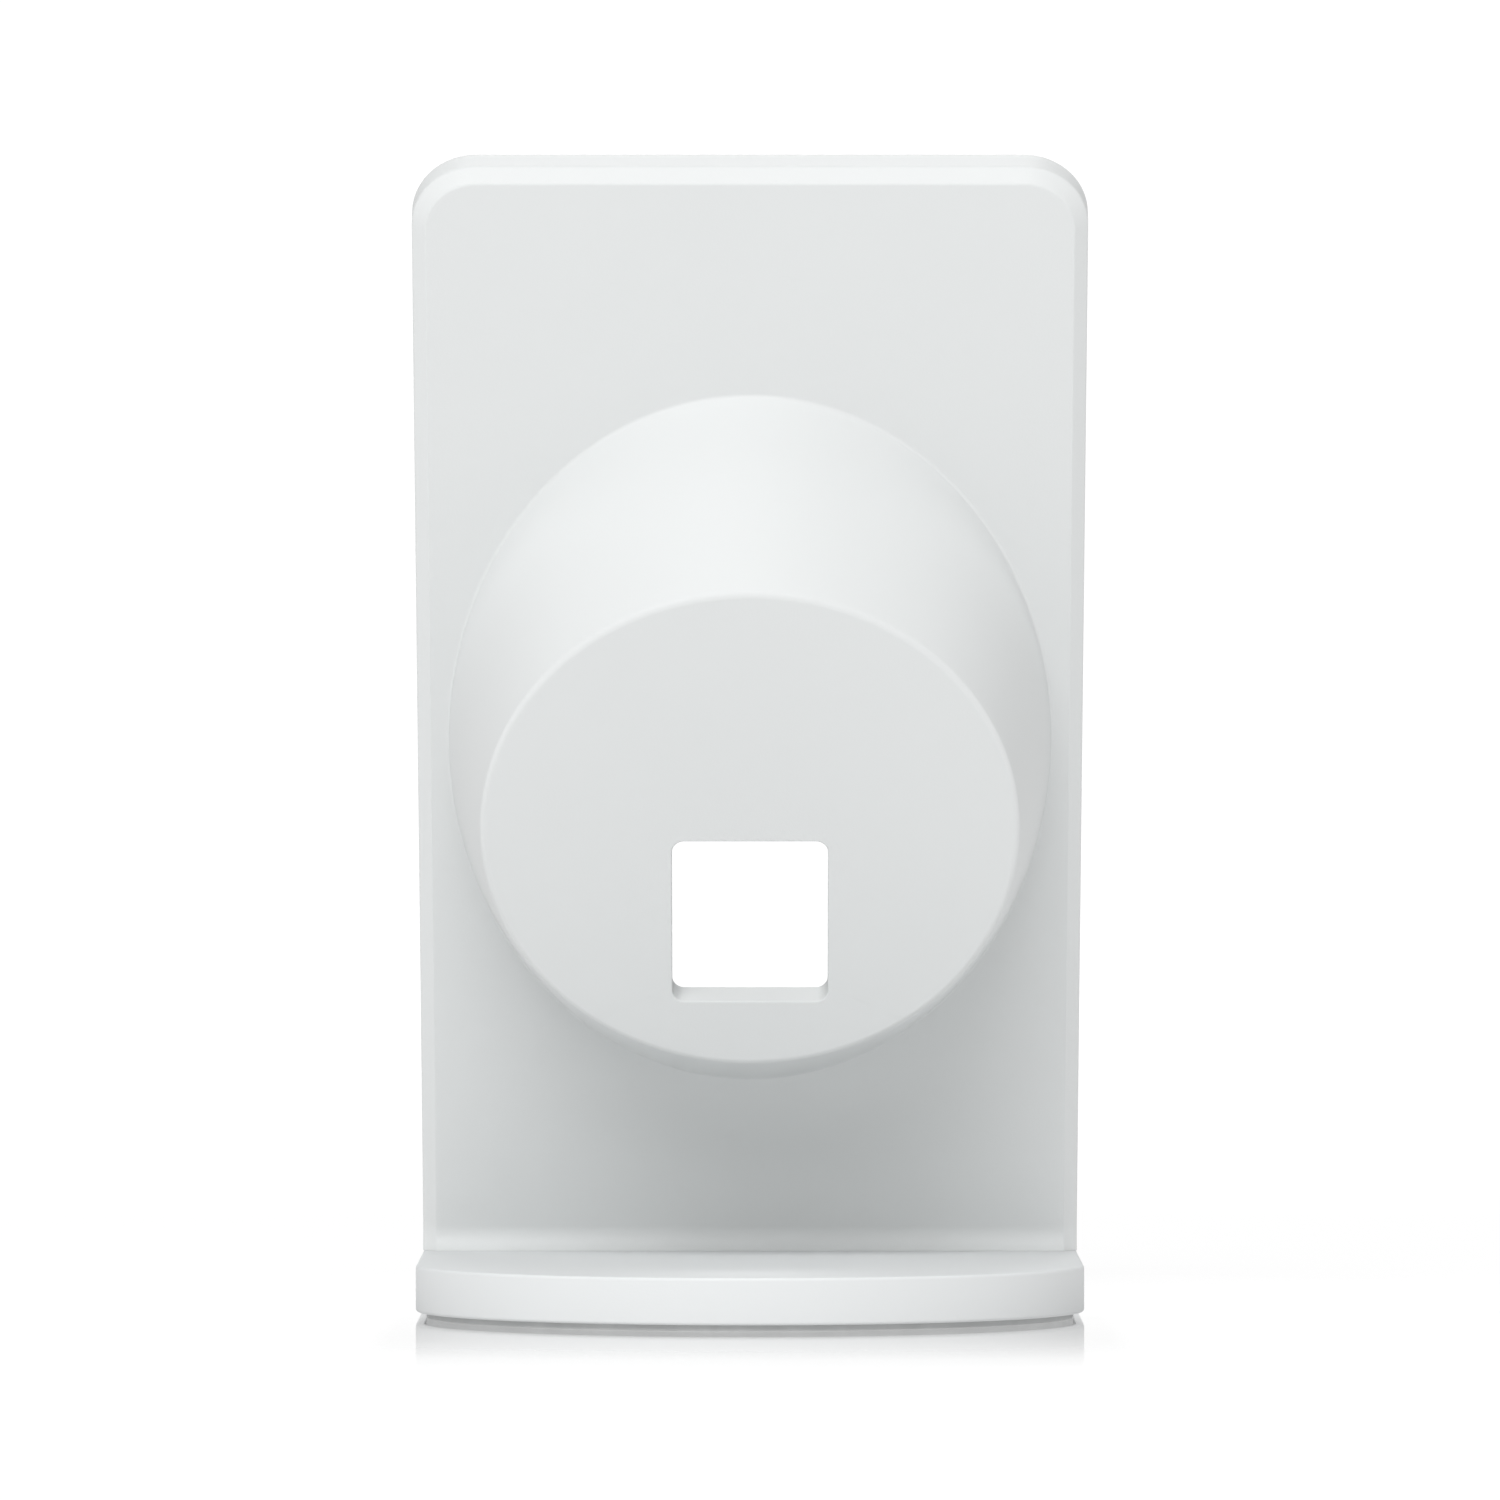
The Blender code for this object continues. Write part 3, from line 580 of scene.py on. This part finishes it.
def make_mounting_plate():
    """Pressed sheet with hooks bent out of it, ears for the screws and two lugs for the lever's pin."""
    inset = SHEET_INSET
    half, top = HALF - inset, PLATE_HEIGHT - inset
    rectangle = ((half, SHEET_LOW), (half, top), (-half, top), (-half, SHEET_LOW))
    edge = round_corners(rectangle, PLATE_CORNER - inset, 16)
    holes = [opening_outline()]
    for x, s in ears():
        holes.append(arc((x, s), SCREW_HEAD + 0.12 * MM, 0, 360, 47)[:-1])
    punched = HOOK_WIDTH / 2 + EDGE
    for level in HOOK_LEVELS:
        for x in (-HOOK_X, HOOK_X):
            low, high = level + SHEET, level + SHEET + HOOK_LIP
            box = ((x + punched, low), (x + punched, high), (x - punched, high), (x - punched, low))
            holes.append(round_corners(box, 0.5 * MM))
    solids = [pressed("mounting_sheet", [edge, *holes], -PLATE_DEPTH, SHEET_NEAR, UPRIGHT)]

    thin = SHEET - 0.04 * MM
    middle = -PLATE_DEPTH + SHEET / 2
    outer = -PLATE_DEPTH - HOOK_REACH + SHEET / 2
    for level in HOOK_LEVELS:
        foot = level + SHEET / 2
        path = ((level - HOOK_ROOT, middle), (foot, middle), (foot, outer), (level + HOOK_LIP, outer))
        profile = strip(path, thin, HOOK_BEND)
        for x in (-HOOK_X, HOOK_X):
            low, high = x - HOOK_WIDTH / 2, x + HOOK_WIDTH / 2
            solids.append(pressed("hook", [profile], low, high, SIDEWAYS, 0.12 * MM))
    lug_top = PIVOT_S + LUG_RISE
    tab = arc((PIVOT_S, PIVOT_N), KNUCKLE_RADIUS, 20, 200, 20)
    tab += [(PIVOT_S - KNUCKLE_RADIUS, SHEET_NEAR - SHEET / 2), (lug_top, SHEET_NEAR - SHEET / 2)]
    eye = arc((PIVOT_S, PIVOT_N), PIN_RADIUS + 0.05 * MM, 0, 360, 32)[:-1]
    for side in (-1, 1):
        low, high = sorted((side * LUG_X, side * (LUG_X + LUG_THICK)))
        solids.append(pressed("lug", [tab, eye], low, high, SIDEWAYS, 0.12 * MM))
    mesh = gathered("mounting_sheet", solids)
    smooth(new_piece("mounting_sheet", mesh, "stand", "plated_steel", "mounting_plate"), 15)


def make_plate_screws():
    """Countersunk screws with a cross recess, their heads flush with the sheet."""
    profile = (
        (SCREW_HEAD - 0.1 * MM, 0.06 * MM),
        (SCREW_HEAD, 0.2 * MM),
        (SHANK_RADIUS, SCREW_HEAD_DEEP),
        (SHANK_RADIUS, SCREW_LENGTH),
    )
    arm, half, depth = 1.35 * MM, 0.27 * MM, 0.9 * MM
    for word, level in (("upper", 1), ("lower", -1)):
        for side_word, side in (("left", -1), ("right", 1)):
            name = f"plate_screw_{word}_{side_word}"
            at = Matrix.Translation((side * POST[0], HUB_CENTRE + level * POST[1], -PLATE_DEPTH))
            place = UPRIGHT @ at @ Matrix.Rotation(0.4 + side * 0.7 + level * 0.3, 4, "Z")
            slots = []
            for x, y in ((arm, half), (half, arm)):
                wide = ((x, -y), (x, y), (-x, y), (-x, -y))
                low = np.array([(a, b, -1 * MM) for a, b in wide])
                deep = np.array([(a * 0.55, b * 0.8, depth) for a, b in wide])
                mouth = np.array([(a, b, 0.05 * MM) for a, b in wide])
                slots.append(loft("slot", [low, mouth, deep], place))
            mesh = combined(name + "_head", turned(name, profile, place), (), slots)
            smooth(new_piece(name + "_piece", mesh, "stand", "screw_steel", name), 30)


# ---------------------------------------------------------------- the lock

def make_lever():
    """Grey lever: an arm with a notch for the spring, two knuckles on the pin and a sloped nose."""
    arm_far = -PLATE_DEPTH + LEVER_SETBACK - PIVOT_N
    arm_middle = arm_far + LEVER_THICK / 2
    x, notch = LEVER_HALF_WIDTH, SPRING_ROOM
    shape = ((x, 0.0), (notch, 0.0), (notch, -LEVER_NOTCH), (-notch, -LEVER_NOTCH), (-notch, 0.0), (-x, 0.0),
             (-x, -LEVER_LENGTH), (x, -LEVER_LENGTH))
    outline = round_corners(shape, 0.6 * MM)
    arm = pressed("lever_arm", [outline], arm_far, arm_far + LEVER_THICK, LEVER, 0.2 * MM)
    joins = []
    for side in (-1, 1):
        low, high = sorted((side * SPRING_ROOM, side * LEVER_HALF_WIDTH))
        knuckle = ((KNUCKLE_RADIUS, low), (KNUCKLE_RADIUS, high))
        joins.append(turned("knuckle", knuckle, LEVER_SIDE, 48, 0.2 * MM))
    nose = (
        (-NOSE_TO, arm_middle),
        (-NOSE_TO, arm_far - NOSE_REACH * 0.3),
        (-NOSE_TO + 1.4 * MM, arm_far - NOSE_REACH),
        (-NOSE_FROM - 0.6 * MM, arm_far - NOSE_REACH),
        (-NOSE_FROM, arm_middle),
    )
    profile = round_corners(nose, 0.3 * MM, 3)
    joins.append(pressed("nose", [profile], -NOSE_HALF_WIDTH, NOSE_HALF_WIDTH, LEVER_SIDE, 0.2 * MM))
    bore_radius = PIN_RADIUS + 0.1 * MM
    bore = turned("bore", ((bore_radius, -x - MM), (bore_radius, x + MM)), LEVER_SIDE, 32)
    mesh = combined("lock_lever_body", arm, joins, [bore])
    smooth(new_piece("lock_lever_body", mesh, "lock_lever", "lever_plastic", "lock_lever"))


def make_pin():
    reach = LUG_X + LUG_THICK + 0.3 * MM
    mesh = turned("lock_pin_body", ((PIN_RADIUS, -reach), (PIN_RADIUS, reach)), LEVER_SIDE, 48, 0.25 * MM)
    smooth(new_piece("lock_pin_body", mesh, "stand", "screw_steel", "lock_pin"))


def make_spring():
    """Torsion spring: close turns round the pin, one leg on the lever and one under the sheet's edge."""
    coil = PIN_RADIUS + 0.4 * MM + WIRE_RADIUS
    half = SPRING_ROOM - 3 * WIRE_RADIUS
    first, last = math.radians(LEVER_LEG_TURN), math.radians(360 * SPRING_TURNS + PLATE_LEG_TURN)
    steps = 40 * SPRING_TURNS
    turn = first + (last - first) * np.arange(steps + 1) / steps
    sideways = half * np.linspace(-1, 1, steps + 1)
    path = np.stack([sideways, coil * np.sin(turn), coil * np.cos(turn)], axis=1)
    lever_leg = path[0] + np.array([0.0, -math.cos(first), math.sin(first)]) * LEVER_LEG
    plate_leg = path[-1] + np.array([0.0, math.cos(last), -math.sin(last)]) * PLATE_LEG
    curve = bpy.data.curves.new("lock_spring_wire", "CURVE")
    curve.dimensions = "3D"
    curve.bevel_depth = WIRE_RADIUS
    curve.bevel_resolution = 4
    curve.use_fill_caps = True
    line = curve.splines.new("POLY")
    points = np.concatenate([[lever_leg], path, [plate_leg]])
    line.points.add(len(points) - 1)
    for point, at in zip(line.points, points):
        point.co = (*(LEVER @ Vector(at)), 1.0)
    holder = bpy.data.objects.new("lock_spring_wire", curve)
    bpy.context.scene.collection.objects.link(holder)
    bpy.context.view_layer.update()
    mesh = bpy.data.meshes.new_from_object(holder.evaluated_get(bpy.context.evaluated_depsgraph_get()))
    bpy.data.objects.remove(holder)
    mesh.materials.clear()
    smooth(new_piece("lock_spring_wire", mesh, "stand", "spring_steel", "lock_spring"), 60)


# ---------------------------------------------------------------- finishes

class Value:
    """A number on a surface. Sums with it add Math nodes."""

    def __init__(self, finish, socket):
        self.finish, self.socket = finish, socket

    def maths(self, operation, *terms):
        node = self.finish.add("ShaderNodeMath", {"operation": operation}, dict(enumerate(terms)))
        return Value(self.finish, node.outputs[0])

    def __add__(self, other):
        return self.maths("ADD", self, other)

    __radd__ = __add__

    def __mul__(self, other):
        return self.maths("MULTIPLY", self, other)

    __rmul__ = __mul__

    def __sub__(self, other):
        return self.maths("SUBTRACT", self, other)

    def __rsub__(self, other):
        return self.maths("SUBTRACT", other, self)

    def power(self, exponent):
        return self.maths("POWER", self, exponent)

    def magnitude(self):
        return self.maths("ABSOLUTE", self)

    def clipped(self):
        return self.maths("MINIMUM", self.maths("MAXIMUM", self, 0.0), 1.0)


class Nodes:
    """One node tree, whose nodes are all made and fed in the same way."""

    def __init__(self, tree):
        self.tree = tree

    def add(self, kind, settings=None, sockets=None):
        node = self.tree.nodes.new(kind)
        for name, value in (settings or {}).items():
            setattr(node, name, value)
        self.feed(node, sockets or {})
        return node

    def feed(self, node, sockets):
        for key, value in sockets.items():
            key = key.replace("_", " ") if isinstance(key, str) else key
            value = value.socket if isinstance(value, Value) else value
            if isinstance(value, bpy.types.NodeSocket):
                self.tree.links.new(value, node.inputs[key])
            else:
                node.inputs[key].default_value = value


class Finish(Nodes):
    """A material under construction, on one Principled shader."""

    def __init__(self, name, **fixed):
        self.material = bpy.data.materials.new(name)
        self.material.use_nodes = True
        super().__init__(self.material.node_tree)
        self.shader = self.tree.nodes["Principled BSDF"]
        self.feed(self.shader, fixed)
        self.place = self.add("ShaderNodeTexCoord").outputs["Object"]

    def noise(self, size, detail=2.0, stretch=(1.0, 1.0, 1.0)):
        """Soft noise whose spots are about that many metres across."""
        spread = self.add("ShaderNodeMapping", None, {"Vector": self.place, "Scale": stretch})
        made = self.add("ShaderNodeTexNoise", None,
                        {"Vector": spread.outputs[0], "Scale": 1.0 / size, "Detail": detail})
        return Value(self, made.outputs[0])

    def blend(self, factor, low, high):
        made = self.add("ShaderNodeMix", {"data_type": "RGBA"}, {0: factor, 6: low, 7: high})
        return made.outputs[2]

    def edges(self):
        """0 on flats and 1 on worn outer edges."""
        point = Value(self, self.add("ShaderNodeNewGeometry").outputs["Pointiness"])
        return ((point - 0.52) * 12.0).clipped()

    def bump(self, height, depth, under=None):
        sockets = {"Height": height, "Distance": depth, "Strength": 1.0}
        if under is not None:
            sockets["Normal"] = under
        return self.add("ShaderNodeBump", None, sockets).outputs[0]


def grey(level):
    return (level, level, level, 1.0)


def tint(colour, gain=1.0):
    return (*(min(c * gain, 1.0) for c in colour), 1.0)


def moulded_white(name, white):
    """Fine spark-eroded texture on white plastic, a little smoother where hands and cloths rub its edges."""
    made = Finish(name, Specular_IOR_Level=0.45)
    grain = made.noise(0.28 * MM, 3.0)
    cloud = made.noise(28 * MM, 2.0)
    made.feed(made.shader, {
        "Base Color": made.blend(cloud, tint(white, 0.99), tint(white, 1.01)),
        "Roughness": 0.5 + grain * 0.12 - made.edges() * 0.08,
        "Normal": made.bump(grain, 0.012 * MM),
    })
    return made.material


def moulded_grey():
    """Fine texture on grey plastic, with paler rubbed edges."""
    made = Finish("moulded_grey", Specular_IOR_Level=0.45)
    grain = made.noise(0.3 * MM, 3.0)
    cloud = made.noise(6 * MM, 3.0)
    plastic = (0.33, 0.345, 0.355)
    worn = made.edges()
    plain = made.blend(cloud, tint(plastic, 0.94), tint(plastic, 1.06))
    made.feed(made.shader, {
        "Base Color": made.blend(worn * 0.5, plain, tint(plastic, 1.3)),
        "Roughness": 0.46 + grain * 0.14 - worn * 0.12,
        "Normal": made.bump(grain, 0.014 * MM),
    })
    return made.material


def zinc_sheet():
    """Zinc-plated pressed sheet: rolling lines up the plate, a cloudy passivated film and bright edges."""
    made = Finish("zinc_sheet")
    lines = made.noise(0.35 * MM, 3.0, (1.0, 0.04, 0.04))
    cloud = made.noise(14 * MM, 4.0)
    spots = made.noise(1.6 * MM, 3.0)
    worn = made.edges()
    zinc = (0.56, 0.575, 0.59)
    film = made.blend((cloud * 1.6 - 0.3).clipped(), tint(zinc, 0.9), tint((0.58, 0.575, 0.555), 1.06))
    made.feed(made.shader, {
        "Metallic": 1.0,
        "Base Color": made.blend(worn, film, tint(zinc, 1.3)),
        "Roughness": 0.3 + cloud * 0.1 + lines * 0.1 + spots * 0.05 - worn * 0.1,
        "Normal": made.bump(lines, 0.004 * MM, made.bump(spots, 0.006 * MM)),
    })
    return made.material


def plated_screw():
    """Bright plated steel with fine turning lines."""
    made = Finish("plated_screw")
    lines = made.noise(0.2 * MM, 2.0)
    cloud = made.noise(2.0 * MM, 3.0)
    worn = made.edges()
    steel = (0.5, 0.51, 0.53)
    plating = made.blend(cloud, tint(steel, 0.85), tint(steel, 1.1))
    made.feed(made.shader, {
        "Metallic": 1.0,
        "Base Color": made.blend(worn, plating, tint(steel, 1.4)),
        "Roughness": 0.24 + cloud * 0.14 + lines * 0.08,
        "Normal": made.bump(lines, 0.004 * MM),
    })
    return made.material


def drawn_wire():
    made = Finish("drawn_wire")
    lines = made.noise(0.12 * MM, 2.0, (0.2, 1.0, 1.0))
    cloud = made.noise(1.2 * MM, 3.0)
    steel = (0.4, 0.405, 0.42)
    made.feed(made.shader, {
        "Metallic": 1.0,
        "Base Color": made.blend(cloud, tint(steel, 0.85), tint(steel, 1.15)),
        "Roughness": 0.22 + lines * 0.16,
        "Normal": made.bump(lines, 0.004 * MM),
    })
    return made.material


def oiled_plate():
    """Hot-rolled steel with its dark scale and an oil film."""
    made = Finish("oiled_plate")
    scale = made.noise(3 * MM, 5.0)
    fine = made.noise(0.4 * MM, 3.0)
    bare = (scale * 1.8 - 0.4).clipped()
    made.feed(made.shader, {
        "Metallic": 1.0,
        "Base Color": made.blend(bare, (0.12, 0.125, 0.135, 1), (0.3, 0.29, 0.28, 1)),
        "Roughness": 0.34 + scale * 0.2 + fine * 0.1,
        "Normal": made.bump(fine, 0.02 * MM, made.bump(scale, 0.04 * MM)),
    })
    return made.material


def turned_brass():
    made = Finish("turned_brass")
    lines = made.noise(0.25 * MM, 2.0, (0.2, 0.2, 1.0))
    cloud = made.noise(1.5 * MM, 3.0)
    brass = (0.72, 0.53, 0.25)
    made.feed(made.shader, {
        "Metallic": 1.0,
        "Base Color": made.blend(cloud, tint(brass, 0.85), tint(brass, 1.08)),
        "Roughness": 0.26 + lines * 0.18,
        "Normal": made.bump(lines, 0.006 * MM),
    })
    return made.material


def grip_rubber():
    """Matt silicone with a fine stipple and a little lint in its surface."""
    made = Finish("grip_rubber", Specular_IOR_Level=0.3)
    stipple = made.noise(0.35 * MM, 2.0)
    lint = made.noise(4 * MM, 6.0)
    silicone = (0.6, 0.61, 0.61)
    dusted = (lint * 2.4 - 0.9).clipped() * 0.6
    made.feed(made.shader, {
        "Base Color": made.blend(dusted, tint(silicone), tint(silicone, 1.2)),
        "Roughness": 0.72 + stipple * 0.2,
        "Normal": made.bump(stipple, 0.03 * MM),
    })
    return made.material


FINISHES = {
    "shell_plastic": moulded_white("moulded_white", UPRIGHT_WHITE),
    "lever_plastic": moulded_grey(),
    "plated_steel": zinc_sheet(),
    "screw_steel": plated_screw(),
    "spring_steel": drawn_wire(),
    "ballast_steel": oiled_plate(),
    "brass": turned_brass(),
    "pad_rubber": grip_rubber(),
}


def finish_hidden_nodes():
    """The CAD pieces that stay keep their shapes and take this scene's finishes."""
    slots = {row["node"]: row["material_slot"] for row in frame["record"]["subparts"]}
    for name, node in frame["nodes"].items():
        if not node.hide_render:
            node.data.materials.clear()
            node.data.materials.append(FINISHES[slots[name]])


# ---------------------------------------------------------------- studio

def make_camera():
    """Long lens on the middle line, a little above the desk, level but for a slight tilt down."""
    camera = bpy.data.cameras.new("camera")
    camera.lens = LENS
    camera.sensor_width = 36.0
    camera.clip_start, camera.clip_end = 0.1, 50.0
    holder = bpy.data.objects.new("camera", camera)
    holder.location = (0.0, CREASE_Y - CAMERA_BACK, CAMERA_HEIGHT)
    holder.rotation_euler = (math.radians(90 - TILT_DOWN), 0.0, 0.0)
    bpy.context.scene.collection.objects.link(holder)
    bpy.context.scene.camera = holder


def softbox(name, rise, turn, size, power):
    """Rectangular light that faces the hub."""
    ray = Vector((-math.sin(turn) * math.cos(rise), -math.cos(turn) * math.cos(rise), math.sin(rise)))
    light = bpy.data.lights.new(name, "AREA")
    light.shape = "RECTANGLE"
    light.size, light.size_y = size
    light.energy = power
    holder = bpy.data.objects.new(name, light)
    holder.location = Vector((0.0, 0.0, foot_high.z + HUB_CENTRE)) + ray * LIGHT_DISTANCE
    holder.rotation_euler = (-ray).to_track_quat("-Z", "Y").to_euler()
    bpy.context.scene.collection.objects.link(holder)


def make_floor():
    """Lit white table that also glows, its glow dimmed near the stand as painted shade and further in front of the
    foot as a painted contact shade; its clear coat mirrors the stand close to the foot, and less with distance.
    """
    half = 30.0
    corners = [(-half, -half, 0), (half, -half, 0), (half, half, 0), (-half, half, 0)]
    mesh = bpy.data.meshes.new("floor")
    mesh.from_pydata(corners, [], [(0, 1, 2, 3)])
    floor = bpy.data.objects.new("floor", mesh)
    bpy.context.scene.collection.objects.link(floor)
    made = Finish("glowing_table_painted_shade", Base_Color=(0.2, 0.2, 0.2, 1.0), Roughness=0.9, Specular_IOR_Level=0.0,
                  Emission_Strength=TABLE_GLOW, Coat_Roughness=0.04, Coat_IOR=GLASS_IOR)
    at = made.add("ShaderNodeSeparateXYZ", None, {0: made.place}).outputs
    sideways = Value(made, at["X"])
    forwards = Value(made, at["Y"])
    from_nose = forwards - NOSE_Y
    away = (sideways * sideways + from_nose * from_nose).power(0.5) - HALF
    # Painted shade: the table's glow is dimmer close to the stand, rising to full further off.
    painted_near_shade = made.blend((away * OPEN_RATE - OPEN_DELAY).clipped(), grey(NEAR_GLOW_PAINTED_SHADE), grey(1.0))
    between_sides = ((HALF + CONTACT_MARGIN - sideways.magnitude()) * SIDE_RATE).clipped()
    in_front = between_sides * (0.5 - forwards * REAR_RATE).clipped()
    # Painted contact shade: a darker glow on the table just in front of the foot.
    contact = (1.0 - away * (1 / CONTACT_REACH)).clipped() * in_front
    made.feed(made.shader, {
        "Coat Weight": (1.0 - away * (1 / GLASS_FADE)).clipped(),
        "Emission Color": made.blend(contact, painted_near_shade, grey(CONTACT_PAINTED_SHADE)),
    })
    mesh.materials.append(made.material)


def make_studio():
    """Sky that is white at the horizon and greyer above, and the softboxes."""
    world = bpy.data.worlds.new("studio")
    world.use_nodes = True
    sky = Nodes(world.node_tree)
    direction = sky.add("ShaderNodeTexCoord").outputs["Generated"]
    height = sky.add("ShaderNodeSeparateXYZ", None, {0: direction}).outputs["Z"]
    glow = sky.add("ShaderNodeMapRange", None, {
        "Value": height, "From_Min": HORIZON_LOW, "From_Max": HORIZON_HIGH, "To_Min": HORIZON, "To_Max": SKY,
    })
    sky.feed(sky.tree.nodes["Background"], {"Color": grey(1.0), "Strength": glow.outputs[0]})
    bpy.context.scene.world = world
    for name, (rise, turn, size, power) in SOFTBOXES.items():
        softbox(name, math.radians(rise), math.radians(turn), size, power)
    bpy.context.scene.view_settings.view_transform = "Standard"
    bpy.context.scene.view_settings.look = "None"


make_camera()
make_upright()
make_foot()
make_pad()
make_mounting_plate()
make_plate_screws()
make_lever()
make_pin()
make_spring()
finish_hidden_nodes()
make_floor()
make_studio()
